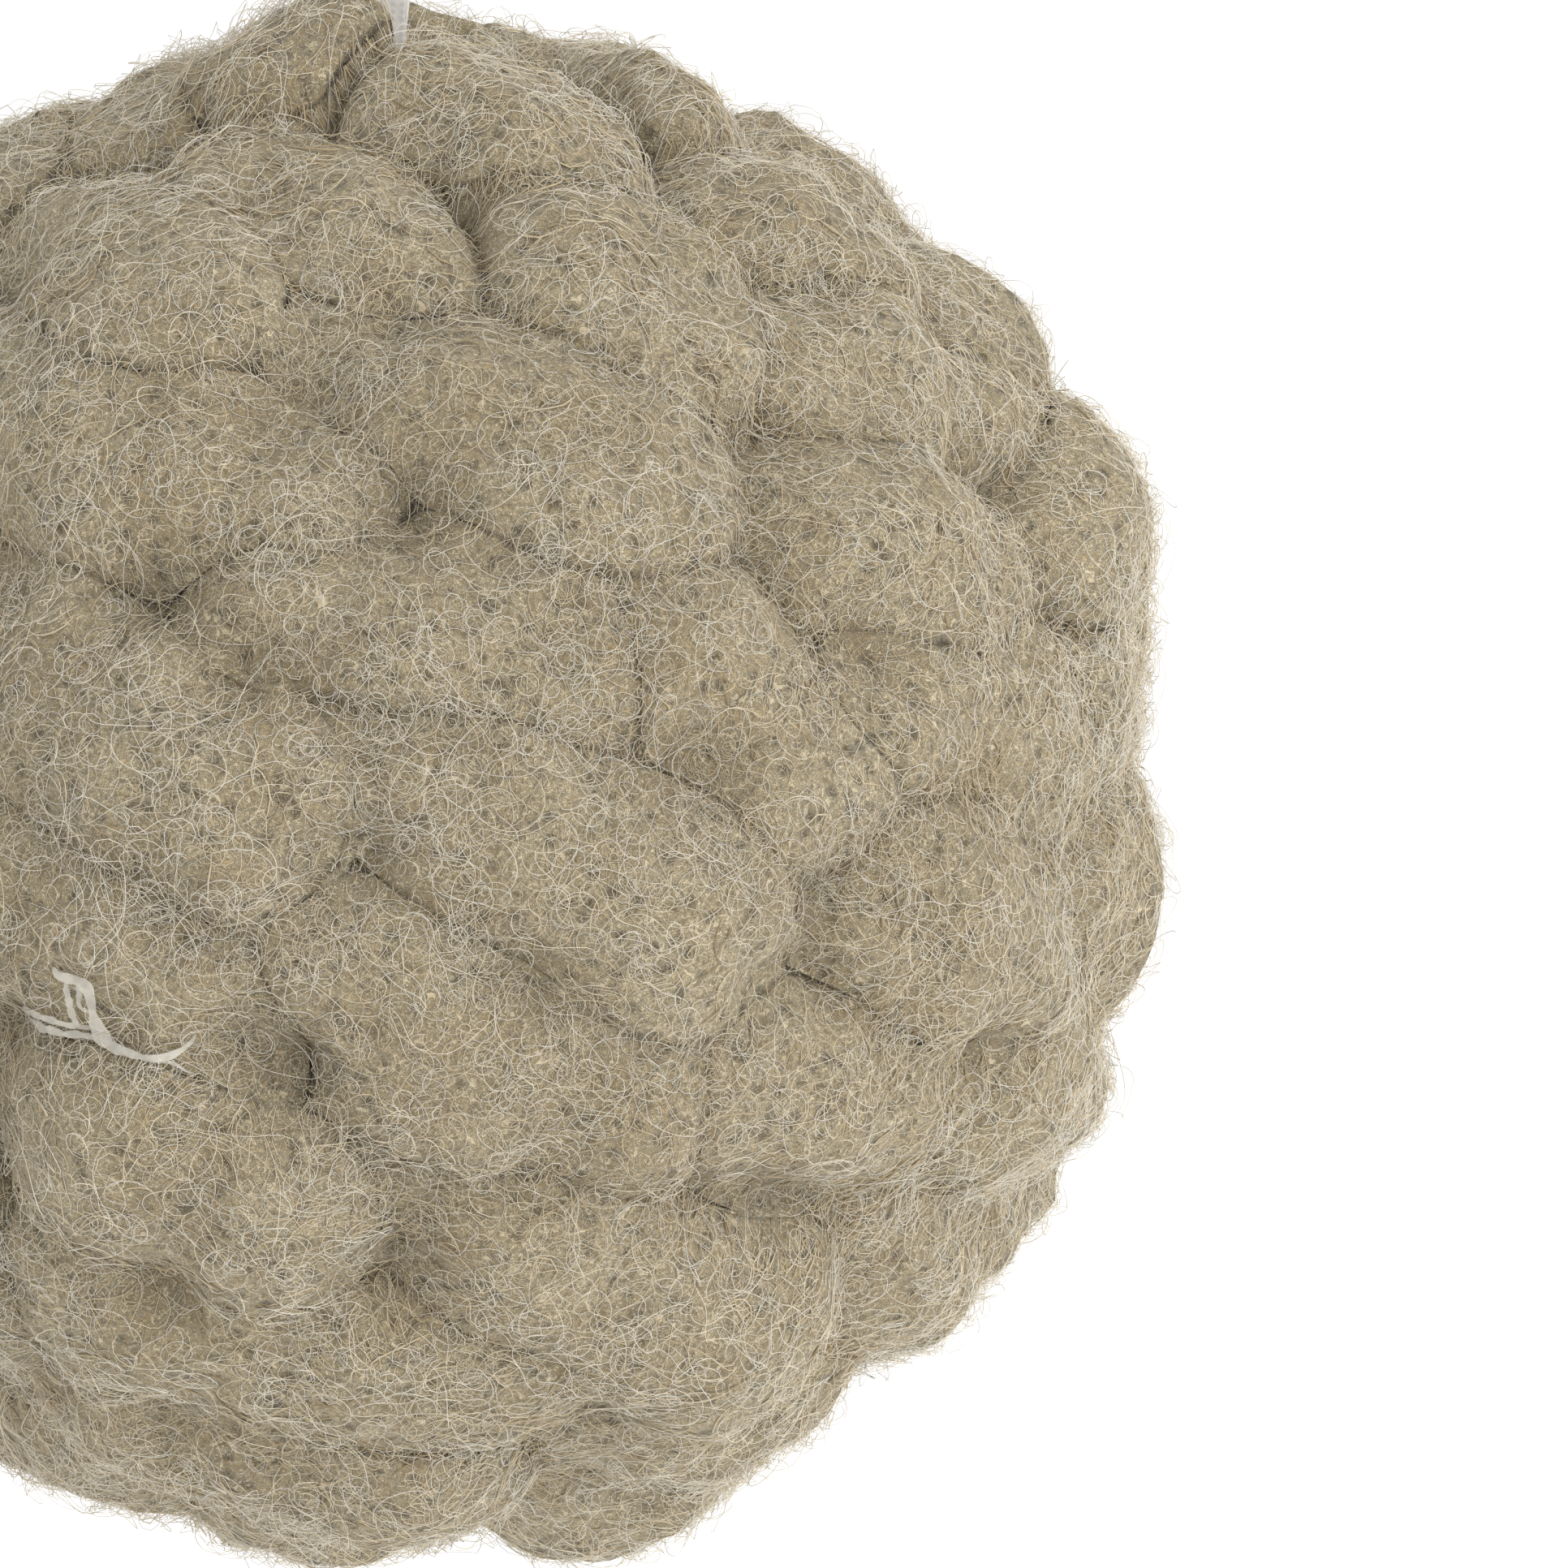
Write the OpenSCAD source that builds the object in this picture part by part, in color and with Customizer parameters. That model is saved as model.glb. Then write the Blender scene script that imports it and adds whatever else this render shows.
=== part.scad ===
// A yarn-covered ball that hangs from a ribbon loop. Millimetres, +Z up.
// The origin is where a hook holds the loop, and the ball hangs below it.
// A row axis, tilted sideways from the vertical, sets the rows of stitches. Longitude 0 faces -Y.

/* [Ball] */
// Radius of the foam core
core_r = 38; // [34:1:42]
// Radius of one strand of yarn where nothing presses on it
strand_r = 7; // [6.2:0.1:7.2]
// Tilt of the row axis towards +X, in degrees
row_tilt = 16; // [0:1:20]
// Clearance between two strands that touch
strand_gap = 0.5; // [0.4:0.05:0.7]

/* [Ribbon] */
// Width of the ribbon
ribbon_w = 2.6; // [2:0.2:3]
// Thickness of the ribbon
ribbon_t = 0.4; // [0.3:0.05:0.5]
// Radius of the passage that the ribbon takes between the strands
passage_r = 2.2; // [2:0.1:2.6]
// Drop from the hook to the centre of the ball
drop = 106; // [100:1:130]

/* [Glue] */
// Thickness of the glue bands that run round the core
glue_t = 0.35; // [0.25:0.05:0.4]
// Width of a glue band
glue_w = 5; // [3:1:8]
// Depth of the socket that the ribbon is glued into
socket_depth = 9; // [6:1:12]

/* [Hidden] */
yarn_colour = [0.66, 0.61, 0.52];
ribbon_colour = [0.93, 0.93, 0.92];
glue_colour = [0.9, 0.88, 0.8];
foam_colour = [0.93, 0.93, 0.9];
cut_margin = 1;
strand_lift = 6.4;
floor_lift = 0.7;
strand_axis_r = core_r + strand_lift;
strand_floor_r = core_r + floor_lift;
glue_clearance = 0.05;
ball_top = strand_axis_r + strand_r;
socket_r = 3.2;
// The plug of glue ends below the socket's rim, and the ribbon starts above its floor.
plug_drop = 1;
tail_lift = 1;
sides = 10;
arc_rings = 6;
cap_angles = [30, 62];
settle_steps = 4;
// A neighbour limits a ray only where the ray heads towards it by more than this.
facing = 0.001;
reach_of_neighbours = 46;

// Each stitch is an upper and a lower leg: [longitude, latitude, run, fall] in degrees.
// Row 1 is at the top. The legs of one row follow each other round the row axis.
rows = [
    [
        [[-62, 71, 50, -1], [-48, 54, 28, -1]],
        [[-18, 66, 32, 9], [40, 54, 26, 5]],
        [[16, 77, 44, 9], [80, 57, 28, 3]],
        [[84, 70, 50, 5], [117, 58, 42, 4]],
        [[150, 68, 46, -2], [168, 56, 44, -2]],
        [[214, 67, 70, 1], [224, 56, 58, 2]]
    ],
    [
        [[-72, 44, 32, 3], [-56, 29, 40, -2]],
        [[-24, 45.5, 35, 7], [-14, 23, 25, -3]],
        [[24, 42, 24, 6], [16, 28, 16, 9]],
        [[59, 43, 22, 5], [40, 27, 22, 3]],
        [[91, 44, 25, 9], [72, 28, 32, 6]],
        [[127, 42, 22, 4], [113, 28, 27, -1]],
        [[156, 45, 27, 10], [147, 28, 33, 5]],
        [[193, 42, 21, 3], [188, 27, 29, 3]],
        [[222, 45, 26, 9], [224, 28, 30, -1]],
        [[257, 44, 20, 3], [262, 28, 34, 1]]
    ],
    [
        [[-78, 13, 29, 9], [-72, -5, 30, 1]],
        [[-43, 13, 29, 5], [-37, -4, 29, 3]],
        [[-8, 16, 31, 9], [-3, -3, 27, 3]],
        [[30, 13, 25, 7], [31, -4, 24, -4]],
        [[63, 14, 30, 10], [62, -3, 34, 2]],
        [[98, 15, 33, 12], [104, -5, 31, 4]],
        [[137, 13, 27, 7], [142, -6, 27, -3]],
        [[170, 15, 34, 13], [176, -5, 33, 5]],
        [[209, 12, 27, 6], [216, -6, 26, -2]],
        [[244, 14, 30, 10], [250, -5, 31, 1]]
    ],
    [
        [[-72, -20, 34, 3], [-66, -36, 38, 4]],
        [[-30, -19, 26, 4], [-18, -38, 47, -5]],
        [[10, -18, 31, 9], [42, -37, 34, 1]],
        [[56, -17, 34, 8], [86, -38, 36, 3]],
        [[101, -19, 36, 10], [131, -38, 33, 0]],
        [[147, -22, 32, 3], [172, -37, 40, 7]],
        [[188, -19, 38, 10], [219, -39, 32, 0]],
        [[236, -20, 36, 5], [258, -38, 28, 0]]
    ],
    [
        [[-28, -52, 50, -1], [-60, -69, 44, 1]],
        [[34, -51, 46, 2], [14, -70, 44, 1]],
        [[98, -54, 52, 1], [88, -70, 44, 1]],
        [[170, -55, 50, 1], [160, -70, 44, 1]],
        [[242, -54, 52, 1], [230, -70, 44, 1]]
    ]
];
// The two ends of the yarn are tucked in at the poles of the row axis.
yarn_start = [0, 86, 60, 0];
yarn_end = [0, -86, 60, 0];
glue_latitudes = [58, 34, 4, -30, -60];

// The ribbon's loop from the knot up to the hook, as [y, z] above the ball's centre.
// The other ply mirrors it.
loop_route = [
    [0.5, 60.8], [0.9, 66], [2, 73], [3.4, 80], [4.6, 87],
    [5.3, 93], [5.2, 98], [4.2, 102], [2.4, 105], [0, 106.2]
];
knot_z = 58.5;
knot_r = 2.5;
knot_h = 4.4;
knot_gap = 0.1;
flex_z = ball_top + 1.2;
flex_gap = 0.5;

// A stray hair of glue lies on the strands: [longitude, latitude, height above the strands' mean top].
wisp_r = 0.35;
wisp_sides = 8;
wisp_route = [
    [-26, -8, 0.5], [-23, -7, 0.6], [-22, -9, 0.5], [-20, -11, 0.4],
    [-18, -12, 0.4], [-15, -12, 0.4], [-13, -10, 0.4]
];

function two_digits(n) = str(n < 10 ? "0" : "", n);
function stitch_name(at) = str("row_", at[0] + 1, "_stitch_", two_digits(at[1] + 1));
STITCHES = [for (r = [0 : len(rows) - 1]) for (s = [0 : len(rows[r]) - 1]) [r, s]];

// Directions from the ball's centre, and legs as arcs round it: [start, sideways, turn in degrees].
function unit(v) = v / norm(v);
function tilted(v) = [
    v[0] * cos(row_tilt) + v[2] * sin(row_tilt), v[1], v[2] * cos(row_tilt) - v[0] * sin(row_tilt)
];
function towards(lon, lat) = tilted([cos(lat) * sin(lon), -cos(lat) * cos(lon), sin(lat)]);
function leg(l) =
    let (a = towards(l[0], l[1]), b = towards(l[0] + l[2], l[1] - l[3]))
    [a, unit(b - a * (a * b)), acos(a * b)];
LEGS = [
    for (at = STITCHES) for (l = rows[at[0]][at[1]]) leg(l),
    leg(yarn_start),
    leg(yarn_end)
];

function on_leg(g, turn) = strand_axis_r * (cos(turn) * g[0] + sin(turn) * g[1]);
function along_leg(g, turn) = cos(turn) * g[1] - sin(turn) * g[0];
function wrapped(a) = a > 180 ? a - 360 : a < -180 ? a + 360 : a;
function nearest_on_leg(g, p) =
    let (half = g[2] / 2, off = wrapped(atan2(p * g[1], p * g[0]) - half))
    on_leg(g, half + max(-half, min(half, off)));

// How far a strand reaches from c towards u before it meets a neighbour halfway, the core, or the passage
// that the ribbon takes.
function halfway(c, u, q, share, spare) =
    let (d = q - c, s = u * d)
    s > facing ? (norm(d) * share - spare) * norm(d) / s : strand_r;
function above_core(c, u, floor_r) =
    let (s = c * u, k = s * s - c * c + floor_r * floor_r)
    s < 0 && k > 0 ? -s - sqrt(k) : strand_r;
function reach(c, u, others, t, steps) =
    steps == 0 ? t : let (p = c + t * u) reach(c, u, others, min(concat(
        [t, above_core(c, u, strand_floor_r), halfway(c, u, [0, 0, max(p[2], 0)], 1, passage_r)],
        [for (g = others) halfway(c, u, nearest_on_leg(g, p), 0.5, strand_gap / 2)]
    )), steps - 1);

// A strand's rings: [turn along the leg, tilt of the ring outwards past its end].
function ring_plan(g) = concat(
    [for (i = [1 : len(cap_angles)]) [0, -cap_angles[len(cap_angles) - i]]],
    [for (i = [0 : arc_rings - 1]) [g[2] * i / (arc_rings - 1), 0]],
    [for (a = cap_angles) [g[2], a]]
);
function strand_points(g, others) =
    let (
        side = cross(g[0], g[1]),
        tips = [[0, -1], [g[2], 1]],
        rings = [
            for (plan = ring_plan(g)) let (
                c = on_leg(g, plan[0]), ahead = along_leg(g, plan[0]), up = unit(c)
            )
            for (j = [0 : sides - 1]) let (
                a = (j + 0.5) * 360 / sides,
                u = cos(plan[1]) * (cos(a) * side + sin(a) * up) + sin(plan[1]) * ahead
            )
            c + u * reach(c, u, others, strand_r, settle_steps)
        ],
        ends = [
            for (t = tips) let (c = on_leg(g, t[0]), u = t[1] * along_leg(g, t[0]))
            c + u * reach(c, u, others, strand_r, settle_steps)
        ]
    )
    concat(rings, ends);
function tube_faces(rings, n) = concat(
    [for (i = [0 : rings - 2]) for (j = [0 : n - 1]) let (k = (j + 1) % n) each [
        [i * n + j, (i + 1) * n + k, i * n + k],
        [i * n + j, (i + 1) * n + j, (i + 1) * n + k]
    ]],
    [for (j = [0 : n - 1]) [rings * n, j, (j + 1) % n]],
    [for (j = [0 : n - 1]) let (last = (rings - 1) * n)
        [rings * n + 1, last + (j + 1) % n, last + j]]
);

module strand(i) {
    g = LEGS[i];
    middle = on_leg(g, g[2] / 2);
    others = [
        for (k = [0 : len(LEGS) - 1])
        if (k != i && norm(nearest_on_leg(LEGS[k], middle) - middle) < reach_of_neighbours) LEGS[k]
    ];
    polyhedron(strand_points(g, others), tube_faces(arc_rings + 2 * len(cap_angles), sides));
}

module stitch(i) {
    color(yarn_colour) translate([0, 0, -drop]) {
        strand(2 * i);
        strand(2 * i + 1);
    }
}

module yarn_tuck(i) {
    color(yarn_colour) translate([0, 0, -drop]) strand(i);
}

module core_ball() {
    color(foam_colour) translate([0, 0, -drop]) difference() {
        sphere(core_r, $fn = 96);
        translate([0, 0, core_r - socket_depth])
            cylinder(h = socket_depth + cut_margin, r = socket_r, $fn = 48);
    }
}

module ribbon_plies(low, high) {
    for (side = [-1, 1])
        translate([-ribbon_w / 2, side * ribbon_t - ribbon_t / 2, low])
            cube([ribbon_w, ribbon_t, high - low]);
}

module glue_plug() {
    color(glue_colour) translate([0, 0, -drop]) difference() {
        translate([0, 0, core_r - socket_depth])
            cylinder(h = socket_depth - plug_drop, r = socket_r, $fn = 48);
        ribbon_plies(core_r - socket_depth + tail_lift, core_r + cut_margin);
    }
}

module ribbon_tails() {
    color(ribbon_colour) translate([0, 0, -drop])
        ribbon_plies(core_r - socket_depth + tail_lift, flex_z - flex_gap);
}

module ribbon_stem() {
    color(ribbon_colour) translate([0, 0, -drop])
        ribbon_plies(flex_z + flex_gap, knot_z - knot_h / 2 - knot_gap);
}

module loop_knot() {
    color(ribbon_colour) translate([0, 0, knot_z - drop]) intersection() {
        sphere(knot_r, $fn = 48);
        cube([2 * knot_r + cut_margin, 2 * knot_r + cut_margin, knot_h], center = true);
    }
}

module ribbon_loop() {
    back = len(loop_route) - 2;
    route = concat(loop_route, [for (i = [back : -1 : 0]) [-loop_route[i][0], loop_route[i][1]]]);
    last = len(route) - 1;
    outwards = [
        for (i = [0 : last]) let (ahead = unit(route[min(i + 1, last)] - route[max(i - 1, 0)]))
        [ahead[1], -ahead[0]] * ribbon_t / 2
    ];
    color(ribbon_colour) translate([-ribbon_w / 2, 0, -drop]) rotate([90, 0, 90])
        linear_extrude(ribbon_w) polygon(concat(
            [for (i = [0 : last]) route[i] + outwards[i]],
            [for (i = [last : -1 : 0]) route[i] - outwards[i]]
        ));
}

module glue_wisp() {
    route = [for (p = wisp_route) (ball_top + p[2]) * towards(p[0], p[1])];
    last = len(route) - 1;
    points = [
        for (i = [0 : last]) let (
            ahead = unit(route[min(i + 1, last)] - route[max(i - 1, 0)]),
            side = unit(cross(ahead, route[i]))
        )
        for (j = [0 : wisp_sides - 1]) let (a = j * 360 / wisp_sides)
        route[i] + wisp_r * (cos(a) * side + sin(a) * cross(ahead, side))
    ];
    color(glue_colour) translate([0, 0, -drop]) polyhedron(
        concat(points, [route[0], route[last]]), tube_faces(last + 1, wisp_sides)
    );
}

// A band of glue that the strands have pressed flat on the core.
module glue_band(latitude) {
    inner_r = core_r + glue_clearance;
    wide = 2 * (inner_r + glue_t + cut_margin);
    color(glue_colour) translate([0, 0, -drop]) rotate([0, row_tilt, 0]) difference() {
        intersection() {
            sphere(inner_r + glue_t, $fn = 96);
            translate([0, 0, inner_r * sin(latitude)])
                cube([wide, wide, glue_w * cos(latitude)], center = true);
        }
        sphere(inner_r, $fn = 96);
    }
}

core_ball();
glue_plug();
ribbon_tails();
ribbon_stem();
loop_knot();
ribbon_loop();
glue_wisp();
yarn_tuck(len(LEGS) - 2);  // yarn_start
yarn_tuck(len(LEGS) - 1);  // yarn_end
for (i = [1 : len(glue_latitudes)])
    glue_band(glue_latitudes[i - 1]);
for (i = [0 : len(STITCHES) - 1])
    stitch(i);
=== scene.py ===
"""A yarn-covered ball that hangs from a ribbon loop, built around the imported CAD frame.

Lengths are in metres, and angles on the ball in degrees. The rows of stitches and their tilt repeat the CAD
source's values. Every other place is worked out from the frame.
"""

import math

import bpy
import numpy as np
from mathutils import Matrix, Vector, noise
from mathutils.bvhtree import BVHTree


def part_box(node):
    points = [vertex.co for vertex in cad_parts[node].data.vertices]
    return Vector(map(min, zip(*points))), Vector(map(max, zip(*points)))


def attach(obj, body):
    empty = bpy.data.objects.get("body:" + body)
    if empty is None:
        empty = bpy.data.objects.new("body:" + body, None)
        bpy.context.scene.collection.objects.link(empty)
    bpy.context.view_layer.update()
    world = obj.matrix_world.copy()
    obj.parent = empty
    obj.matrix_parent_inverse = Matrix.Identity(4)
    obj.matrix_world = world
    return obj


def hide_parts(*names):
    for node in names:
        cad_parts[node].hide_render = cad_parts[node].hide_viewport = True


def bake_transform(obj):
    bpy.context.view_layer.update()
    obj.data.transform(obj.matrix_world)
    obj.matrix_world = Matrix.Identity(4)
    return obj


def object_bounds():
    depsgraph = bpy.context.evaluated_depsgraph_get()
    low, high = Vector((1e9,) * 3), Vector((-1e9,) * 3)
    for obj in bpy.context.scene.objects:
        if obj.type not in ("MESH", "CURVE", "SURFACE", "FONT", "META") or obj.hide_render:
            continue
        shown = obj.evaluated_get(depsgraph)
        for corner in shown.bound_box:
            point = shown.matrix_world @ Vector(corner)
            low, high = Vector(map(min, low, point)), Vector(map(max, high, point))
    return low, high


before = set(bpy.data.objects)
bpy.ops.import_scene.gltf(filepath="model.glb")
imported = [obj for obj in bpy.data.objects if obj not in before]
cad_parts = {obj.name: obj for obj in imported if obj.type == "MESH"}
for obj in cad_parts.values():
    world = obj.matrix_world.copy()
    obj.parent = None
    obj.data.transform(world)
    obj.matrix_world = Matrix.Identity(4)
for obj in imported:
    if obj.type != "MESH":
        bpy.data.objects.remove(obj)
CAD_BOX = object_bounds()
MM = 0.001

rng = np.random.default_rng(7)

# ---------------------------------------------------------------- sizes

# The ball, from the CAD core. Its crown holds a socket, so the centre is found from its lowest point.
CORE_LOW, CORE_HIGH = (np.array(corner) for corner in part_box("core_ball"))
CORE_R = (CORE_HIGH[0] - CORE_LOW[0]) / 2
CENTRE = np.array([0, 0, CORE_LOW[2] + CORE_R])
BALL_TOP = CORE_R + 13.4 * MM

# A strand before it is pressed, how far from the centre its middle runs, and how near its skin may come.
STRAND_R = 8.8 * MM
AXIS_R = CORE_R + 4.1 * MM
STRAND_FLOOR_R = CORE_R + 0.7 * MM

# Heights of a strand's middle over AXIS_R: where an upper leg starts, how much it climbs, and a lower leg's.
UPPER_START = -2.4 * MM
UPPER_CLIMB = 3.2 * MM
LOWER_HEIGHT = -0.9 * MM
# How much thinner an upper leg starts, how far its line waves up and down, and how far its middle strays
# sideways from the straight way between its ends.
THINNER_START = 0.16
WAVE = 0.3 * MM
BOW = 1.3 * MM

# How strands press on each other: how much further than its radius a strand may spread sideways, how rounded
# the edges between contacts are, the gap that stays, the radius kept free round the ribbon, and the least
# that a skin stands off its strand's middle.
SPREAD = 0.28
SOFTNESS = 0.6 * MM
CONTACT_GAP = 0.05 * MM
PASSAGE_R = 1.7 * MM
LEAST_REACH = 0.2 * MM

# How a strand is drawn: the rings along it and in each rounded end, and the points round it.
BODY_RINGS = 26
CAP_RINGS = 6
SIDES = 40
# How contacts are found: points on each centre line, neighbours looked at, and rounds.
LINE_SAMPLES = 21
NEIGHBOURS = 14
SETTLE_STEPS = 6

# The map of the ball's surface, how far creases are bridged, and how deep a valley counts as full.
MAP_ROWS = 360
MAP_COLUMNS = 720
BRIDGE_STEPS = 20
HULL_STEPS = 160
VALLEY_DEPTH = 2.6 * MM
# How deep below the bridged surface the yarn still swells out, and a pit still presses it in.
FILL_DEPTH = 10 * MM
PIT_DEPTH = 4 * MM

# The felt shell: its rings and sides, and how far it lies below the bridged surface and how thick it is.
FELT_RINGS = 150
FELT_SIDES = 300
FELT_DEPTH = 0.3 * MM
FELT_THICK = 0.5 * MM

# The ribbon, and its knot above the core.
RIBBON_W = 2.6 * MM
RIBBON_T = 0.2 * MM
KNOT_Z = CORE_R + 20.5 * MM
KNOT_H = 4.4 * MM

# ---------------------------------------------------------------- places

ROW_TILT = math.radians(16)

# Each stitch is an upper and a lower leg, from the top row down: (longitude, latitude, run, fall).
ROWS = [
    [
        [(-62, 71, 50, -1), (-48, 54, 28, -1)],
        [(-18, 66, 32, 9), (40, 54, 26, 5)],
        [(16, 77, 44, 9), (80, 57, 28, 3)],
        [(84, 70, 50, 5), (117, 58, 42, 4)],
        [(150, 68, 46, -2), (168, 56, 44, -2)],
        [(214, 67, 70, 1), (224, 56, 58, 2)],
    ],
    [
        [(-72, 44, 32, 3), (-56, 29, 40, -2)],
        [(-24, 45.5, 35, 7), (-14, 23, 25, -3)],
        [(24, 42, 24, 6), (16, 28, 16, 9)],
        [(59, 43, 22, 5), (40, 27, 22, 3)],
        [(91, 44, 25, 9), (72, 28, 32, 6)],
        [(127, 42, 22, 4), (113, 28, 27, -1)],
        [(156, 45, 27, 10), (147, 28, 33, 5)],
        [(193, 42, 21, 3), (188, 27, 29, 3)],
        [(222, 45, 26, 9), (224, 28, 30, -1)],
        [(257, 44, 20, 3), (262, 28, 34, 1)],
    ],
    [
        [(-78, 13, 29, 9), (-72, -5, 30, 1)],
        [(-43, 13, 29, 5), (-37, -4, 29, 3)],
        [(-8, 16, 31, 9), (-3, -3, 27, 3)],
        [(30, 13, 25, 7), (31, -4, 24, -4)],
        [(63, 14, 30, 10), (62, -3, 34, 2)],
        [(98, 15, 33, 12), (104, -5, 31, 4)],
        [(137, 13, 27, 7), (142, -6, 27, -3)],
        [(170, 15, 34, 13), (176, -5, 33, 5)],
        [(209, 12, 27, 6), (216, -6, 26, -2)],
        [(244, 14, 30, 10), (250, -5, 31, 1)],
    ],
    [
        [(-72, -20, 34, 3), (-66, -36, 38, 4)],
        [(-30, -19, 26, 4), (-18, -38, 47, -5)],
        [(10, -18, 31, 9), (42, -37, 34, 1)],
        [(56, -17, 34, 8), (86, -38, 36, 3)],
        [(101, -19, 36, 10), (131, -38, 33, 0)],
        [(147, -22, 32, 3), (172, -37, 40, 7)],
        [(188, -19, 38, 10), (219, -39, 32, 0)],
        [(236, -20, 36, 5), (258, -38, 28, 0)],
    ],
    [
        [(-28, -52, 50, -1), (-60, -69, 44, 1)],
        [(34, -51, 46, 2), (14, -70, 44, 1)],
        [(98, -54, 52, 1), (88, -70, 44, 1)],
        [(170, -55, 50, 1), (160, -70, 44, 1)],
        [(242, -54, 52, 1), (230, -70, 44, 1)],
    ],
]
YARN_START = (0, 86, 60, 0)
YARN_END = (0, -86, 60, 0)

# Where the yarn stands prouder or lower than the rest: (longitude, latitude, reach, millimetres).
SWELLS = [
    (-90, 76, 11, 2.2), (-58, 72, 8, 2.6), (90, 84, 7, -1.2), (88, 68, 12, -1.4), (90, 44, 16, 2.8),
    (90, 26, 8, -1.0), (91, 16, 7, -1.5), (92, 4, 10, -4.2), (92, -14, 8, 3.2), (90, -26, 8, -3.0),
    (90, -34, 16, -1.2), (92, -54, 9, -2.6), (0, -88, 6, -1.5),
]

# Pits where strands meet, in the same way.
PITS = [
    (-5, 6, 4, -2.4), (-4, -10, 4, -2.6), (-9, -9, 3, -1.6), (40, -14, 4, -2.8), (34, -13, 3, -1.6),
    (-15, 17, 4, -2.2), (-25, 20, 4, -1.6), (-8, 33, 4, -1.8), (-23, 37, 4, -1.8), (-16, 48, 3, -1.6),
    (20, 56, 4, -2.2), (14, 62, 4, -1.6), (37, 31, 4, -2.6), (20, 20, 4, -1.6), (30, 5, 4, -2.2),
    (36, 5, 3, -1.6), (55, 0, 4, -2.6), (12, 2, 4, -1.8), (8, -24, 4, -2.0), (-9, -32, 3, -1.4),
    (-6, -49, 4, -2.0), (6, -48, 4, -1.8), (35, -35, 4, -1.6),
]

# The ribbon loop's route from the knot to the hook, as (y, z) in millimetres from the ball's centre.
# The other ply mirrors it.
LOOP_ROUTE = [
    (0.4, 59.9), (0.9, 66), (2, 73), (3.4, 80), (4.6, 87), (5.3, 93), (5.2, 98), (4.2, 102), (2.4, 105),
    (0, 106.2),
]

# A blob of glue drawn out into a film with holes. It lies on the yarn at WISP_AT (longitude, latitude), and
# its strips are (right, up, width) in millimetres from there.
WISP_AT = (-18.4, -9)
WISPS = [
    [
        (-2.7, 2.2, 0.2), (-2.2, 1.8, 0.5), (-1.5, 1.75, 0.7), (-0.7, 1.65, 0.8), (-0.2, 1.2, 0.8),
        (-0.1, 0.3, 0.6), (-0.1, -0.5, 0.7), (0, -1.3, 0.9), (0.3, -2.2, 1.1), (1.0, -2.75, 0.9),
        (1.8, -2.9, 0.6), (2.8, -3.1, 0.45), (4.0, -3.2, 0.55), (5.0, -3.0, 0.4), (5.8, -2.5, 0.3),
        (6.1, -2.0, 0.1),
    ],
    [(-1.6, 1.7, 0.2), (-1.7, 0.7, 0.45), (-1.6, -0.3, 0.5), (-1.3, -1.2, 0.4), (-1.4, -1.9, 0.2)],
    [(-0.8, 1.5, 0.5), (-0.9, 0.7, 0.4), (-0.9, 0, 0.25), (-0.3, -0.7, 0.25)],
    [
        (-6.7, -1.7, 0.1), (-5.7, -1.4, 0.5), (-4.5, -1.3, 0.45), (-3.3, -1.3, 0.45), (-2.3, -1.5, 0.35),
        (-1.3, -1.6, 0.35), (-0.3, -1.7, 0.3),
    ],
    [
        (-6.9, -2.8, 0.1), (-5.7, -2.4, 0.4), (-4.5, -2.3, 0.7), (-3.5, -2.2, 0.55), (-2.5, -2.3, 0.45),
        (-1.3, -2.2, 0.5), (0.1, -2.4, 0.3),
    ],
    [(1.8, -2.9, 0.2), (3.3, -3.3, 0.3), (4.7, -3.7, 0.25), (5.8, -4.6, 0.08)],
]

# ---------------------------------------------------------------- shapes


def unit(v):
    return v / np.linalg.norm(v, axis=-1, keepdims=True)


def towards(lon, lat):
    """The direction from the ball's centre at a row longitude and latitude in degrees."""
    lon, lat = np.radians(lon), np.radians(lat)
    x, y, z = np.cos(lat) * np.sin(lon), -np.cos(lat) * np.cos(lon), np.sin(lat)
    c, s = math.cos(ROW_TILT), math.sin(ROW_TILT)
    return np.stack([x * c + z * s, y, z * c - x * s], axis=-1)


def directions(lat, lon):
    """Directions from the ball's centre at latitudes and longitudes in radians about the vertical."""
    lat, lon = np.broadcast_arrays(lat, lon)
    return np.stack([np.cos(lat) * np.cos(lon), np.cos(lat) * np.sin(lon), np.sin(lat)], axis=-1)


def ease(x):
    """From 0 to 1 as x goes from 0 to 1, level at both ends."""
    x = np.clip(x, 0, 1)
    return x * x * (3 - 2 * x)


def drawn(pair, count):
    """Random values between the two of a pair."""
    return pair[0] + (pair[1] - pair[0]) * rng.random(count)


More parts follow.
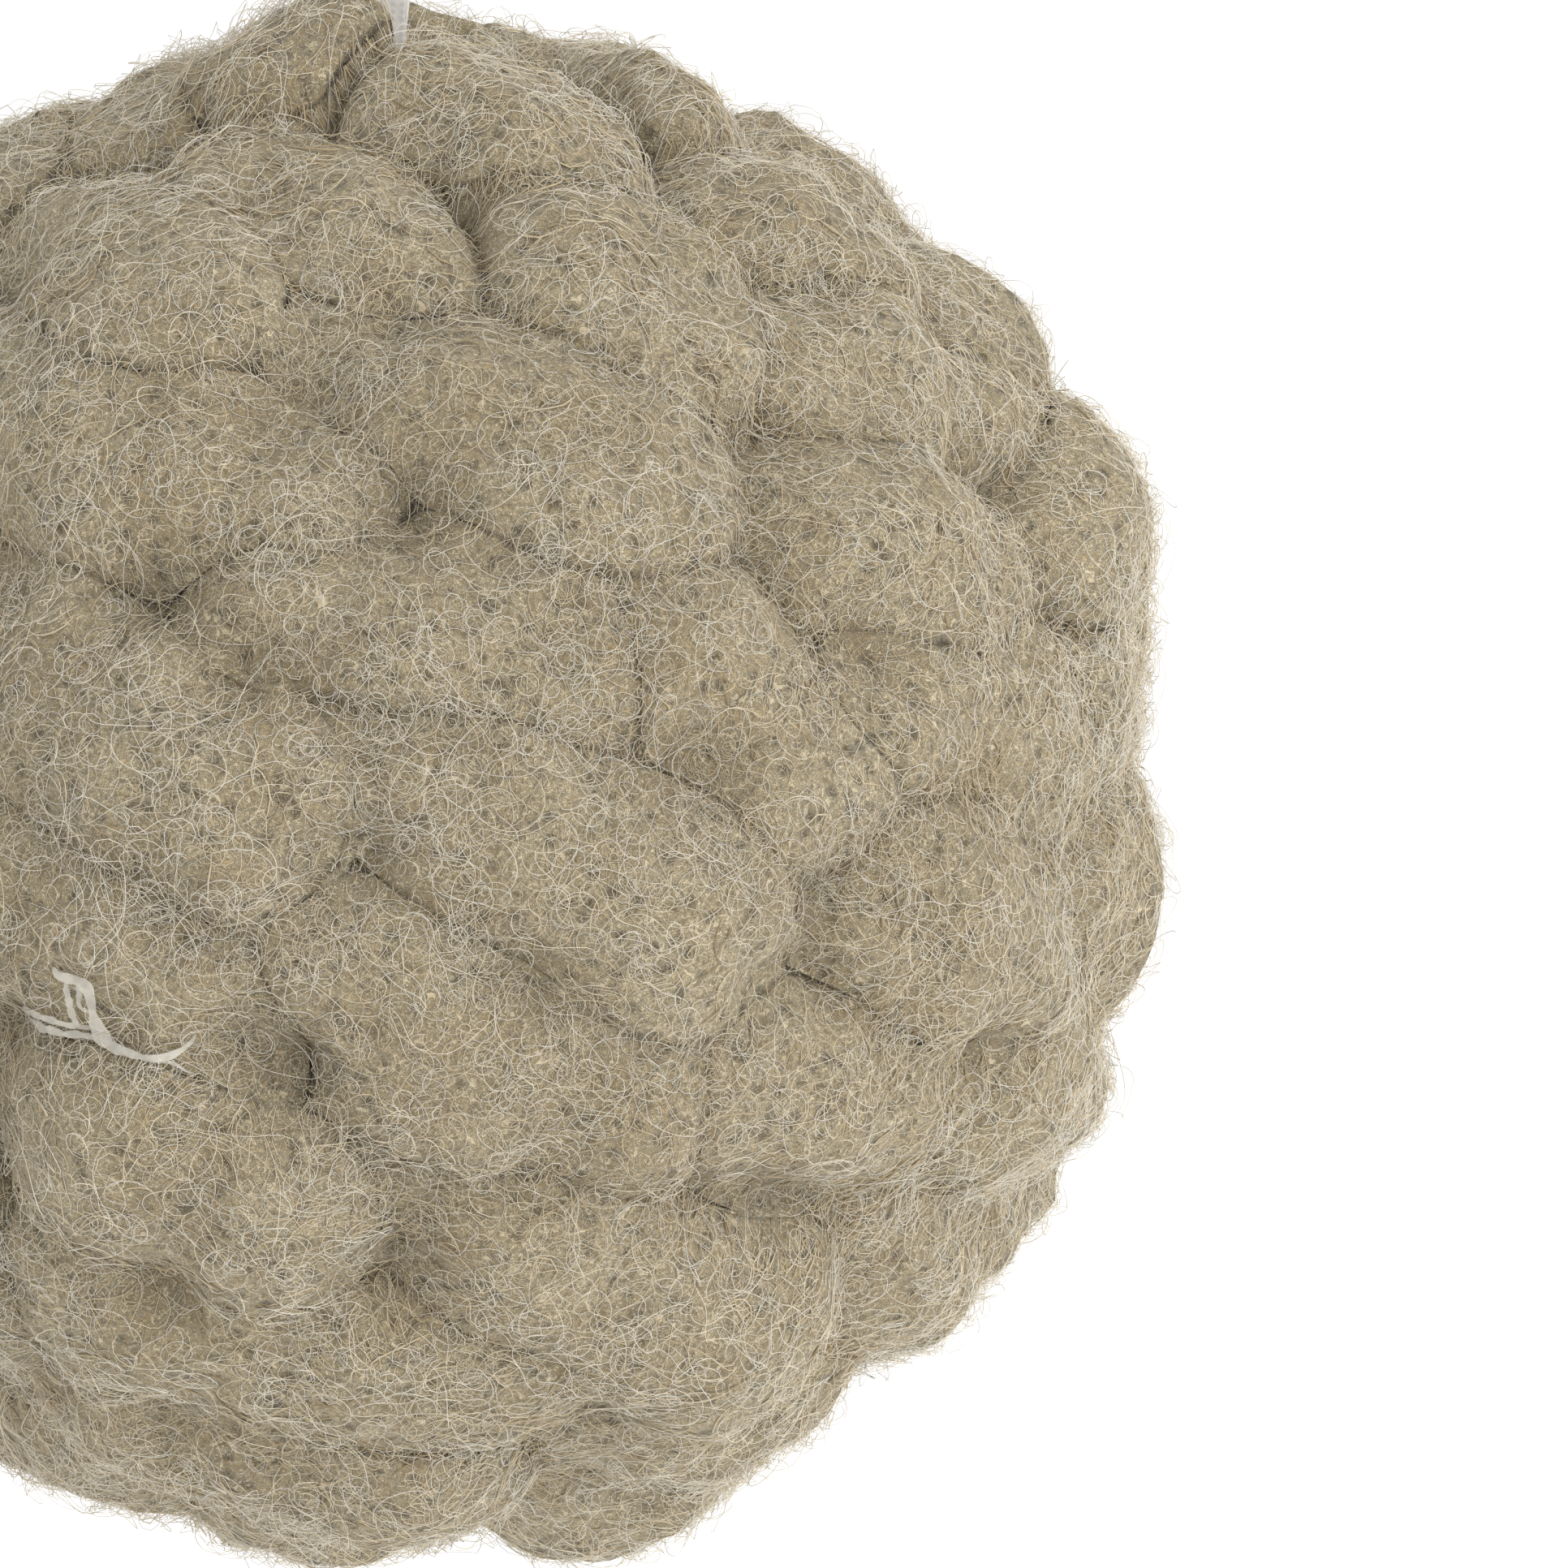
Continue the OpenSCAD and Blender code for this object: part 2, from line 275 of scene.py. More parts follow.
class Leg:
    """One strand between two points of the ball.

    An upper leg comes out from under the one before it and ends on top of the next one. A lower leg is
    level, so that it runs on into the lower legs beside it.
    """

    def __init__(self, node, place, upper, number):
        lon, lat, run, fall = place
        self.node = node
        self.start = towards(lon, lat)
        end = towards(lon + run, lat - fall)
        self.ahead = unit(end - self.start * (self.start @ end))
        self.turn = math.acos(self.start @ end)
        self.bow = np.cross(self.start, self.ahead) * BOW * math.sin(2.7 * number)
        self.upper = upper
        self.number = number

    def line(self, share):
        """The centre line at shares of its length: points, directions along and outwards, and radii."""
        angle = (share * self.turn)[:, None]
        out = np.cos(angle) * self.start + np.sin(angle) * self.ahead
        along = np.cos(angle) * self.ahead - np.sin(angle) * self.start
        if self.upper:
            height = UPPER_START + UPPER_CLIMB * ease(share * 1.3)
            girth = 1 - THINNER_START + THINNER_START * ease(share / 0.4)
        else:
            height = LOWER_HEIGHT
            girth = 1.0
        wave = np.sin(share * 5.1 + self.number * 2.3) + 0.6 * np.sin(share * 9.7 + self.number * 1.1)
        far = AXIS_R + height + WAVE * wave
        points = out * far[:, None] + np.sin(math.pi * share)[:, None] * self.bow
        radius = STRAND_R * girth * (0.99 + 0.04 * np.sin(share * 7.3 + self.number * 3.7))
        return points, along, out, radius


def make_legs():
    legs = []
    for r, row in enumerate(ROWS):
        for s, stitch in enumerate(row):
            node = f"row_{r + 1}_stitch_{s + 1:02d}"
            legs.append(Leg(node, stitch[0], True, len(legs)))
            legs.append(Leg(node, stitch[1], False, len(legs)))
    legs.append(Leg("yarn_start", YARN_START, True, len(legs)))
    legs.append(Leg("yarn_end", YARN_END, True, len(legs)))
    return legs


def strand_rays(leg):
    """For each point of a strand's skin: where it starts on the centre line, which way it goes, how far."""
    caps = np.linspace(90, 0, CAP_RINGS + 1)[1:-1]
    share = np.concatenate([np.zeros(len(caps)), np.linspace(0, 1, BODY_RINGS), np.ones(len(caps))])
    lean = np.radians(np.concatenate([-caps, np.zeros(BODY_RINGS), caps[::-1]]))
    points, along, out, radius = leg.line(share)
    side = np.cross(out, along)
    a = (np.arange(SIDES) + 0.5) * 2 * math.pi / SIDES
    ring = np.cos(a)[None, :, None] * side[:, None] + np.sin(a)[None, :, None] * out[:, None]
    rays = np.cos(lean)[:, None, None] * ring + np.sin(lean)[:, None, None] * along[:, None]
    start = np.concatenate([np.repeat(points, SIDES, axis=0), points[[0, -1]]])
    rays = np.concatenate([rays.reshape(-1, 3), [-along[0], along[-1]]])
    return start, rays, np.concatenate([np.repeat(radius, SIDES), radius[[0, -1]]])


def soft_least(values, softness):
    """The least of some values along the first axis, rounded off where two are close."""
    least = values.min(axis=0)
    return least - softness * np.log(np.exp(-(values - least) / softness).sum(axis=0))


def reach(start, rays, radius, others, far):
    """How far a strand's skin gets before it presses on a neighbour, the core or the ribbon's passage."""
    inward = -(start * rays).sum(axis=1)
    inside = inward**2 - (start**2).sum(axis=1) + STRAND_FLOOR_R**2
    to_floor = np.where((inward > 0) & (inside > 0), inward - np.sqrt(np.maximum(inside, 0)), far)
    outward = np.clip((rays * unit(start)).sum(axis=1), 0, 1)
    limits = [radius * (1 + SPREAD * (1 - outward)), to_floor]
    got = radius.copy()
    for _ in range(SETTLE_STEPS):
        p = start + rays * got[:, None]
        found = []
        for q_all, r_all in others:
            apart = np.linalg.norm(p[:, None] - q_all[None], axis=2) - r_all[None]
            nearest = apart.argmin(axis=1)
            d = q_all[nearest] - start
            more = r_all[nearest] - radius
            closing = 2 * ((rays * d).sum(axis=1) + more)
            halfway = ((d**2).sum(axis=1) - more**2) / np.maximum(closing, 1e-6) - CONTACT_GAP / 2
            found.append(np.where(closing > 1e-6, halfway, far))
        d = np.stack([-start[:, 0], -start[:, 1], np.maximum(p[:, 2], 0) - start[:, 2]], axis=1)
        length = np.linalg.norm(d, axis=1)
        closing = (rays * d).sum(axis=1)
        to_passage = (length - PASSAGE_R) * length / np.maximum(closing, 1e-6)
        found.append(np.where(closing > 1e-6, to_passage, far))
        got = soft_least(np.minimum(np.array(limits + found), far), SOFTNESS)
        got = np.maximum(got, LEAST_REACH)
    return got


def skins(legs):
    """Each strand's skin as points round the ball's centre, pressed against its neighbours."""
    share = np.linspace(0, 1, LINE_SAMPLES)
    lines = [leg.line(share) for leg in legs]
    middles = np.array([line[0][LINE_SAMPLES // 2] for line in lines])
    made = []
    for i, leg in enumerate(legs):
        start, rays, radius = strand_rays(leg)
        apart = np.array([np.linalg.norm(line[0] - middles[i], axis=1).min() for line in lines])
        near = [k for k in np.argsort(apart) if k != i][:NEIGHBOURS]
        others = [(lines[k][0], lines[k][3]) for k in near]
        got = reach(start, rays, radius, others, 3 * STRAND_R)
        made.append(start + rays * got[:, None])
    return made


def bumps(out, spots):
    """How far some swells or pits move the yarn outwards along some directions."""
    moved = np.zeros(out.shape[:-1])
    for lon, lat, width, height in spots:
        apart = np.degrees(np.arccos(np.clip(out @ towards(lon, lat), -1, 1)))
        moved += height * MM * np.exp(-((apart / width) ** 2))
    return moved


def lumps(points):
    """Soft lumps and dents of loosely filled yarn, moved along the way out from the ball."""
    amount = [
        0.9 * MM * noise.noise(Vector(p) / (12 * MM))
        + 1.1 * MM * noise.noise(Vector(p) / (5.5 * MM))
        + 0.5 * MM * noise.noise(Vector(p) / (2.4 * MM))
        for p in points
    ]
    out = unit(points)
    return points + out * (np.array(amount) + bumps(out, SWELLS))[:, None]


def tube_faces(rings, sides, offset=0):
    """Faces of a closed tube: its rings of points come first, then the tips of its first and last ring."""
    faces = []
    for i in range(rings - 1):
        for j in range(sides):
            k = (j + 1) % sides
            faces.append((i * sides + j, i * sides + k, (i + 1) * sides + k, (i + 1) * sides + j))
    first, last = rings * sides, rings * sides + 1
    for j in range(sides):
        k = (j + 1) % sides
        faces.append((first, k, j))
        faces.append((last, (rings - 1) * sides + j, (rings - 1) * sides + k))
    return [tuple(v + offset for v in face) for face in faces]


def mesh_object(name, points, faces, material):
    """A smooth mesh object at the origin, with its points already in the frame's metres."""
    mesh = bpy.data.meshes.new(name)
    mesh.from_pydata([tuple(p) for p in points], [], faces)
    mesh.materials.append(material)
    mesh.polygons.foreach_set("use_smooth", [True] * len(mesh.polygons))
    mesh.update()
    obj = bpy.data.objects.new(name, mesh)
    bpy.context.scene.collection.objects.link(obj)
    return obj


# ---------------------------------------------------------------- materials


def srgb(r, g, b):
    """A display colour as a linear one, with full opacity."""
    linear = [c / 12.92 if c <= 0.04045 else ((c + 0.055) / 1.055) ** 2.4 for c in (r, g, b)]
    return (*linear, 1)


class Nodes:
    """A short way to write a material's nodes."""

    def __init__(self, name, roughness, sheen=0.0, sheen_roughness=0.5):
        self.material = bpy.data.materials.new(name)
        self.material.use_nodes = True
        self.tree = self.material.node_tree
        self.shader = self.tree.nodes["Principled BSDF"]
        self.shader.inputs["Roughness"].default_value = roughness
        self.shader.inputs["Sheen Weight"].default_value = sheen
        self.shader.inputs["Sheen Roughness"].default_value = sheen_roughness
        self.place = self.tree.nodes.new("ShaderNodeTexCoord").outputs["Object"]

    def new(self, kind, **inputs):
        """A node with some inputs linked or set, by name with _ for a space."""
        node = self.tree.nodes.new(kind)
        for key, value in inputs.items():
            socket = node.inputs[key.replace("_", " ")]
            if isinstance(value, bpy.types.NodeSocket):
                self.tree.links.new(value, socket)
            else:
                socket.default_value = value
        return node

    def noise(self, size, detail=2.0, distortion=0.0, shift=0.0):
        """Noise with features of a size in metres."""
        moved = self.new("ShaderNodeVectorMath", Vector=self.place).outputs[0]
        self.tree.nodes[-1].inputs[1].default_value = (shift, shift * 0.7, -shift)
        return self.new(
            "ShaderNodeTexNoise", Vector=moved, Scale=1 / size, Detail=detail, Distortion=distortion
        ).outputs["Fac"]

    def math(self, operation, a, b=0.0):
        node = self.tree.nodes.new("ShaderNodeMath")
        node.operation = operation
        for socket, value in zip(node.inputs, (a, b)):
            if isinstance(value, bpy.types.NodeSocket):
                self.tree.links.new(value, socket)
            else:
                socket.default_value = value
        return node.outputs[0]

    def steps(self, value, low, high, start=0.0, end=1.0):
        """A smooth step from start to end as a value goes from low to high."""
        node = self.new("ShaderNodeMapRange", Value=value)
        node.interpolation_type = "SMOOTHSTEP"
        for key, number in (("From Min", low), ("From Max", high), ("To Min", start), ("To Max", end)):
            node.inputs[key].default_value = number
        return node.outputs[0]

    def mix(self, share, a, b):
        """Colour a with a share of colour b."""
        node = self.tree.nodes.new("ShaderNodeMix")
        node.data_type = "RGBA"
        for socket, value in ((node.inputs[0], share), (node.inputs[6], a), (node.inputs[7], b)):
            if isinstance(value, bpy.types.NodeSocket):
                self.tree.links.new(value, socket)
            else:
                socket.default_value = value
        return node.outputs[2]

    def colour(self, socket):
        self.tree.links.new(socket, self.shader.inputs["Base Color"])

    def bump(self, height, distance, strength=1.0):
        node = self.new("ShaderNodeBump", Height=height, Distance=distance, Strength=strength)
        self.tree.links.new(node.outputs["Normal"], self.shader.inputs["Normal"])


def yarn_material():
    """Brushed tube yarn: a mat of pale curly fibres over a tan knitted sleeve with small gaps. Painted shade
    darkens the gaps and the wide valleys between strands.
    """
    n = Nodes("brushed_yarn", 0.95, sheen=0.15)
    fibres = None
    layers = ((1.1, 0.03, 0.0), (0.7, 0.05, 3.1), (1.6, 0.022, 7.7), (0.45, 0.07, 11.3))
    for size, width, shift in layers:
        curl = n.noise(size * MM, detail=1.0, distortion=1.4, shift=shift)
        off = n.math("ABSOLUTE", n.math("SUBTRACT", curl, 0.5))
        line = n.steps(off, 0.0, width, 1.0, 0.0)
        fibres = line if fibres is None else n.math("MAXIMUM", fibres, line)
    gaps = n.new("ShaderNodeTexVoronoi", Vector=n.place, Scale=1 / (1.3 * MM)).outputs["Distance"]
    patches = n.noise(4.5 * MM, detail=2.0, shift=1.7)
    pits = n.math("MULTIPLY", n.steps(gaps, 0.12, 0.5, 1.0, 0.0), n.steps(patches, 0.34, 0.5))
    specks = n.steps(n.noise(0.35 * MM, detail=2.0, shift=9.1), 0.30, 0.60)
    blotches = n.noise(9 * MM, detail=3.0, shift=5.0)
    base = n.mix(n.steps(blotches, 0.35, 0.65), srgb(0.63, 0.56, 0.42), srgb(0.70, 0.64, 0.51))
    base = n.mix(specks, srgb(0.50, 0.435, 0.31), base)
    # Painted shade: the deeper the yarn lies in a wide valley, the darker brown it is coloured.
    valley = n.new("ShaderNodeAttribute")
    valley.attribute_name = "valley"
    base = n.mix(n.math("MULTIPLY", valley.outputs["Fac"], 0.6), base, srgb(0.44, 0.375, 0.26))
    # Painted shade in the knit's gaps: they are coloured dark brown, and the bump also presses them in.
    base = n.mix(n.math("MULTIPLY", pits, 0.95), base, srgb(0.33, 0.28, 0.18))
    n.colour(n.mix(n.math("MULTIPLY", fibres, 0.6), base, srgb(0.84, 0.79, 0.67)))
    height = n.math("SUBTRACT", n.math("MULTIPLY", fibres, 0.5), pits)
    n.bump(height, 0.35 * MM, 0.9)
    return n.material


def fibre_material(name, colour):
    """One tint of fibre."""
    n = Nodes(name, 0.85, sheen=0.5, sheen_roughness=0.4)
    n.shader.inputs["Base Color"].default_value = srgb(*colour)
    return n.material


# ---------------------------------------------------------------- ground


def blurred(table):
    """A map of the ball, with each place averaged with those beside it."""
    table = (np.roll(table, 1, axis=1) + 2 * table + np.roll(table, -1, axis=1)) / 4
    padded = np.pad(table, ((1, 1), (0, 0)), mode="edge")
    return (padded[:-2] + 2 * padded[1:-1] + padded[2:]) / 4


class Ground:
    """Maps of the ball's surface, looked up by direction.

    They hold the strands' outermost radius (skin), the radius with the narrow creases bridged (bridge), the
    same smoothed and with the pits (floor), and how deep in a wide valley a place is, 0 to 1 (valley). The
    last one sets how much painted shade darkens the yarn and the fuzz in the valleys.
    """

    def __init__(self, skins, skin_faces):
        points, faces = [], []
        for skin, its_faces in zip(skins, skin_faces):
            start = len(points)
            points += [tuple(p) for p in skin]
            faces += [tuple(start + i for i in face) for face in its_faces]
        tree = BVHTree.FromPolygons(points, faces)
        lat = np.radians(np.linspace(-90, 90, MAP_ROWS))
        lon = np.radians(np.arange(MAP_COLUMNS) * 360 / MAP_COLUMNS)
        out = directions(lat[:, None], lon)
        far = AXIS_R + 3 * STRAND_R
        self.skin = np.full((MAP_ROWS, MAP_COLUMNS), CORE_R)
        for place in np.ndindex(self.skin.shape):
            d = Vector(out[place])
            hit = tree.ray_cast(d * far, -d, far - CORE_R)
            if hit[0] is not None:
                self.skin[place] = far - hit[3]
        self.bridge = self.skin
        for _ in range(BRIDGE_STEPS):
            self.bridge = np.maximum(self.skin, blurred(self.bridge))
        self.floor = blurred(blurred(self.bridge)) + bumps(out, PITS)
        hull = self.floor
        for _ in range(HULL_STEPS):
            hull = np.maximum(self.floor, blurred(hull))
        self.valley = np.clip((hull - self.floor) / VALLEY_DEPTH, 0, 1)

    def look(self, table, d):
        """The values of a map in some directions."""
        lat = (np.arcsin(np.clip(d[..., 2], -1, 1)) / math.pi + 0.5) * (MAP_ROWS - 1)
        lon = (np.arctan2(d[..., 1], d[..., 0]) / (2 * math.pi) % 1) * MAP_COLUMNS
        i = np.clip(lat.astype(int), 0, MAP_ROWS - 2)
        j = lon.astype(int) % MAP_COLUMNS
        u, v = lat - i, lon - np.floor(lon)
        k = (j + 1) % MAP_COLUMNS
        low = table[i, j] * (1 - v) + table[i, k] * v
        high = table[i + 1, j] * (1 - v) + table[i + 1, k] * v
        return low * (1 - u) + high * u


# ---------------------------------------------------------------- yarn


def filled(points, ground):
    """The strands' skins, swollen into the creases as squeezed yarn is, with the pits pressed in."""
    out = unit(points)
    below = np.maximum(ground.look(ground.bridge, out) - np.linalg.norm(points, axis=1), 0)
    rise = below * np.exp(-((below / FILL_DEPTH) ** 2))
    sink = bumps(out, PITS) * np.exp(-((below / PIT_DEPTH) ** 2))
    return points + out * (rise + sink)[:, None]


def mark_valleys(piece, points, ground):
    """Stores at each point of a piece how deep in a valley it is. The yarn's material uses it to paint shade
    darker there.
    """
    valley = piece.data.attributes.new("valley", "FLOAT", "POINT")
    valley.data.foreach_set("value", ground.look(ground.valley, unit(points - CENTRE)))


def make_felt(ground, material):
    """The felted fibres in the creases: a thin shell just under the strands' backs, open at the ribbon."""
    rim = 1.1 * PASSAGE_R / AXIS_R
    lat = np.linspace(-math.pi / 2, math.pi / 2 - rim, FELT_RINGS + 1)[1:]
    lon = np.linspace(0, 2 * math.pi, FELT_SIDES, endpoint=False)
    out = directions(lat[:, None], lon)
    # Up the outside to the rim and down the inside, then the two lowest points.
    out = np.concatenate([out.reshape(-1, 3), out[::-1].reshape(-1, 3), [(0, 0, -1), (0, 0, -1)]])
    depth = np.full(len(out), FELT_DEPTH)
    depth[FELT_RINGS * FELT_SIDES : -2] += FELT_THICK
    depth[-1] += FELT_THICK
    points = out * (ground.look(ground.floor, out) - depth)[:, None] + CENTRE
    felt = mesh_object("fuzz_felt", points, tube_faces(2 * FELT_RINGS, FELT_SIDES), material)
    mark_valleys(felt, points, ground)
    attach(felt, "ball")


def make_yarn(legs, material):
    """A piece for each node of yarn. Gives the ground that the fuzz lies on."""
    rings = BODY_RINGS + 2 * (CAP_RINGS - 1)
    lumpy = [lumps(skin) for skin in skins(legs)]
    ground = Ground(lumpy, [tube_faces(rings, SIDES)] * len(lumpy))
    groups = {}
    for leg, skin in zip(legs, [filled(skin, ground) for skin in lumpy]):
        groups.setdefault(leg.node, []).append(skin + CENTRE)
    for node, parts in groups.items():
        faces = []
        for k, part in enumerate(parts):
            faces += tube_faces(rings, SIDES, k * len(part))
        points = np.concatenate(parts)
        piece = mesh_object("strand_" + node, points, faces, material)
        mark_valleys(piece, points, ground)
        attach(piece, "ball")
        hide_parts(node)
    make_felt(ground, material)
    return ground


# ---------------------------------------------------------------- fuzz

# Roughly how far from the centre the fibres lie, how deep their ends go in, and how many triangles one
# piece of fuzz may hold.
FIBRE_R = 1.12 * AXIS_R
END_DEPTH = 0.12 * MM
PIECE_TRIANGLES = 190000

# The fuzz in three kinds, from the short mat that covers the yarn to the long loose fibres on top. Lengths,
# heights above the yarn and radii, in millimetres, and curls (one over a curl's radius in metres) are drawn
# between each pair's two values. Tints are places in the list of fibre materials. The last one is also given
# to fibres in the valleys, as painted shade.
FUZZ = [
    dict(
        name="fuzz_mat", count=20000, points=8, length=(4, 7), curl=(300, 1300), height=(0, 0.4),
        thick=(0.045, 0.075), lift_end=0.1, tints=(1, 3, 4), patchy=0.6,
    ),
    dict(
        name="fuzz_curls", count=28000, points=16, length=(4.5, 9), curl=(350, 1800), height=(0.2, 1.6),
        thick=(0.022, 0.033), lift_end=0.7, tints=(0, 2, 1), patchy=0.8,
    ),
    dict(
        name="fuzz_loose", count=7000, points=20, length=(7, 13), curl=(300, 1300), height=(0.5, 2.1),
        thick=(0.02, 0.028), lift_end=1.2, tints=(0, 2), patchy=0.4,
    ),
]


def scattered(count):
    """Random directions, evenly spread over the ball."""
    return unit(rng.normal(size=(count, 3)))


def cloud(d, size, waves=40):
    """A smooth random field over directions, about -1 to 1, with features of a size in metres."""
    facing = scattered(waves) * (2 * math.pi * AXIS_R / (1.5 * size))
    phase = 2 * math.pi * rng.random(waves)
    return np.cos(d @ facing.T + phase).sum(axis=1) / math.sqrt(waves / 2)


def rooted(ground, count, patchy):
    """Random directions, with more over the creases than over the strands' backs, and in patches."""
    many = scattered(5 * count)
    crease = ground.look(ground.bridge, many) - ground.look(ground.skin, many)
    patch = np.clip(0.5 + 0.45 * cloud(many, 5 * MM) + 0.25 * cloud(many, 1.8 * MM), 0, 1)
    in_crease = np.clip(crease / (0.5 * MM), 0, 1)
    wanted = (1 - patchy + patchy * patch) * (0.4 + 0.6 * in_crease)
    kept = many[rng.random(5 * count) < 0.8 * wanted]
    return kept[:count]


def curly_lines(ground, root, points, length, curl, height, lift_end):
    """Centre lines of fibres that curl over the yarn and come back down to it at their ends."""
    count = len(root)
    share = np.linspace(0, 1, points)
    east = unit(np.cross(root, scattered(count)))[:, None]
    north = np.cross(root[:, None], east)
    step = drawn(length, count)[:, None] / (points - 1)
    bend = drawn(curl, count) * rng.choice([-1, 1], count)
    sway = rng.normal(size=count) * curl[1] * 0.7
    turns = 0.6 + rng.random(count)[:, None]
    phase = 6 * rng.random(count)[:, None]
    rate = bend[:, None] + sway[:, None] * np.sin(2 * math.pi * turns * share + phase)
    heading = 2 * math.pi * rng.random(count)[:, None] + np.cumsum(rate * step, axis=1)
    x = np.cumsum(np.cos(heading) * step, axis=1)[..., None]
    y = np.cumsum(np.sin(heading) * step, axis=1)[..., None]
    d = unit(root[:, None] * FIBRE_R + x * east + y * north)
    top = height[0] + (height[1] - height[0]) * rng.random(count)[:, None] ** 1.6
    ripple = 0.55 + 0.45 * np.sin(heading * (0.6 + 0.8 * rng.random(count)[:, None]))
    arch = np.sin(math.pi * share) * ripple * top - END_DEPTH
    arch = arch + lift_end * rng.random(count)[:, None] ** 3 * share**2
    return d * (ground.look(ground.floor, d) + arch)[..., None]


def fibre_mesh(lines, thick):
    """Thin closed three-sided tubes along many lines at once: their points and faces."""
    count, points, _ = lines.shape
    along = unit(np.gradient(lines, axis=1))
    out = unit(lines)
    side = unit(np.cross(along, out))
    up = np.cross(side, along)
    share = np.linspace(-1, 1, points)
    radius = thick[:, None] * (1 - 0.55 * share[None] ** 2)
    corners = []
    for k in range(3):
        a = math.radians(90 + 120 * k)
        corners.append(lines + radius[..., None] * (math.cos(a) * side + math.sin(a) * up))
    verts = np.stack(corners, axis=2).reshape(-1, 3) + CENTRE
    tris = []
    for i in range(points - 1):
        for j in range(3):
            k = (j + 1) % 3
            a, b, c, d = 3 * i + j, 3 * i + k, 3 * i + 3 + k, 3 * i + 3 + j
            tris += [(a, c, b), (a, d, c)]
    last = 3 * (points - 1)
    tris += [(0, 1, 2), (last, last + 2, last + 1)]
    first = np.arange(count)[:, None, None] * (3 * points)
    return verts, (first + np.array(tris)).reshape(-1, 3)


def fast_mesh(name, verts, faces, materials, slots):
    """mesh_object for large triangle meshes."""
    mesh = bpy.data.meshes.new(name)
    mesh.vertices.add(len(verts))
    mesh.vertices.foreach_set("co", verts.astype(np.float32).ravel())
    mesh.loops.add(faces.size)
    mesh.loops.foreach_set("vertex_index", faces.astype(np.int32).ravel())
    mesh.polygons.add(len(faces))
    mesh.polygons.foreach_set("loop_start", np.arange(0, faces.size, 3, dtype=np.int32))
    mesh.polygons.foreach_set("material_index", slots.astype(np.int32))
    mesh.polygons.foreach_set("use_smooth", np.ones(len(faces), bool))
    for material in materials:
        mesh.materials.append(material)
    mesh.update(calc_edges=True)
    obj = bpy.data.objects.new(name, mesh)
    bpy.context.scene.collection.objects.link(obj)
    return obj


def make_fuzz(
    ground, materials, many, name, count, points, length, curl, height, thick, lift_end, tints, patchy
):
    """One kind of fuzz, in pieces from the top of the ball down."""
    length, height, thick = (np.array(pair) * MM for pair in (length, height, thick))
    root = rooted(ground, int(count * many), patchy)
    count = len(root)
    lines = curly_lines(ground, root, points, length, curl, height, lift_end * MM)
    order = np.argsort(-lines[:, points // 2, 2])
    lines = lines[order]
    width = drawn(thick, count)
    # Painted shade: the deeper in a valley a fibre lies, the likelier it gets the kind's last tint, which is
    # darker for the mat and the curls.
    valley = ground.look(ground.valley, unit(lines[:, points // 2]))
    tint = rng.integers(0, len(tints), count)
    tint = np.where(rng.random(count) < 1.2 * valley, len(tints) - 1, tint)
    used = [materials[t] for t in tints]
    triangles = (points - 1) * 6 + 2
    each = PIECE_TRIANGLES // triangles
    for k, first in enumerate(range(0, count, each)):
        part = slice(first, first + each)
        verts, faces = fibre_mesh(lines[part], width[part])
        slots = np.repeat(tint[part], triangles)
        piece = fast_mesh(f"{name}_{k + 1:02d}", verts, faces, used, slots)
        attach(piece, "ball")


# ---------------------------------------------------------------- ribbon, knot and glue


def smooth_line(points, count):
    """Evenly spaced points on a Catmull-Rom curve through some points."""
    p = np.array(points, float)
    p = np.concatenate([[2 * p[0] - p[1]], p, [2 * p[-1] - p[-2]]])
    t = np.linspace(0, 1, 24, endpoint=False)[:, None]
    fine = []
    for a, b, c, d in zip(p, p[1:], p[2:], p[3:]):
        square = 2 * a - 5 * b + 4 * c - d
        cube = 3 * b - a - 3 * c + d
        fine.append((2 * b + (c - a) * t + square * t**2 + cube * t**3) / 2)
    fine = np.concatenate(fine + [p[-2:-1]])
    run = np.concatenate([[0], np.cumsum(np.linalg.norm(np.diff(fine, axis=0), axis=1))])
    even = np.linspace(0, run[-1], count)
    return np.stack([np.interp(even, run, fine[:, k]) for k in range(fine.shape[1])], axis=1)


def strip(line, across, width, thick, sides=20, closed=False):
    """A flat ribbon with beaded edges swept along a line: its points and faces."""
    across = unit(across)
    along = np.gradient(line, axis=0)
    if closed:
        along = np.roll(line, -1, axis=0) - np.roll(line, 1, axis=0)
    face = unit(np.cross(unit(along), across))
    a = np.arange(sides) * 2 * math.pi / sides
    x = np.sign(np.cos(a)) * np.abs(np.cos(a)) ** 0.7 / 2
    z = np.sign(np.sin(a)) * np.abs(np.sin(a)) ** 0.55 / 2 * (0.8 + 0.5 * np.abs(2 * x) ** 6)
    x, z = x[None, :, None], z[None, :, None]
    width, thick = (np.broadcast_to(v, len(line))[:, None, None] for v in (width, thick))
    points = line[:, None] + across[:, None] * x * width + face[:, None] * z * thick
    points = points.reshape(-1, 3)
    if not closed:
        return np.concatenate([points, line[[0, -1]]]), tube_faces(len(line), sides)
    faces = []
    for i in range(len(line)):
        here, there = i * sides, (i + 1) % len(line) * sides
        for j in range(sides):
            k = (j + 1) % sides
            faces.append((here + j, here + k, there + k, there + j))
    return points, faces


def joined(parts):
    """Several shells as one list of points and one of faces."""
    points, faces = [], []
    for its_points, its_faces in parts:
        faces += [tuple(v + len(points) for v in face) for face in its_faces]
        points += list(its_points)
    return np.array(points), faces


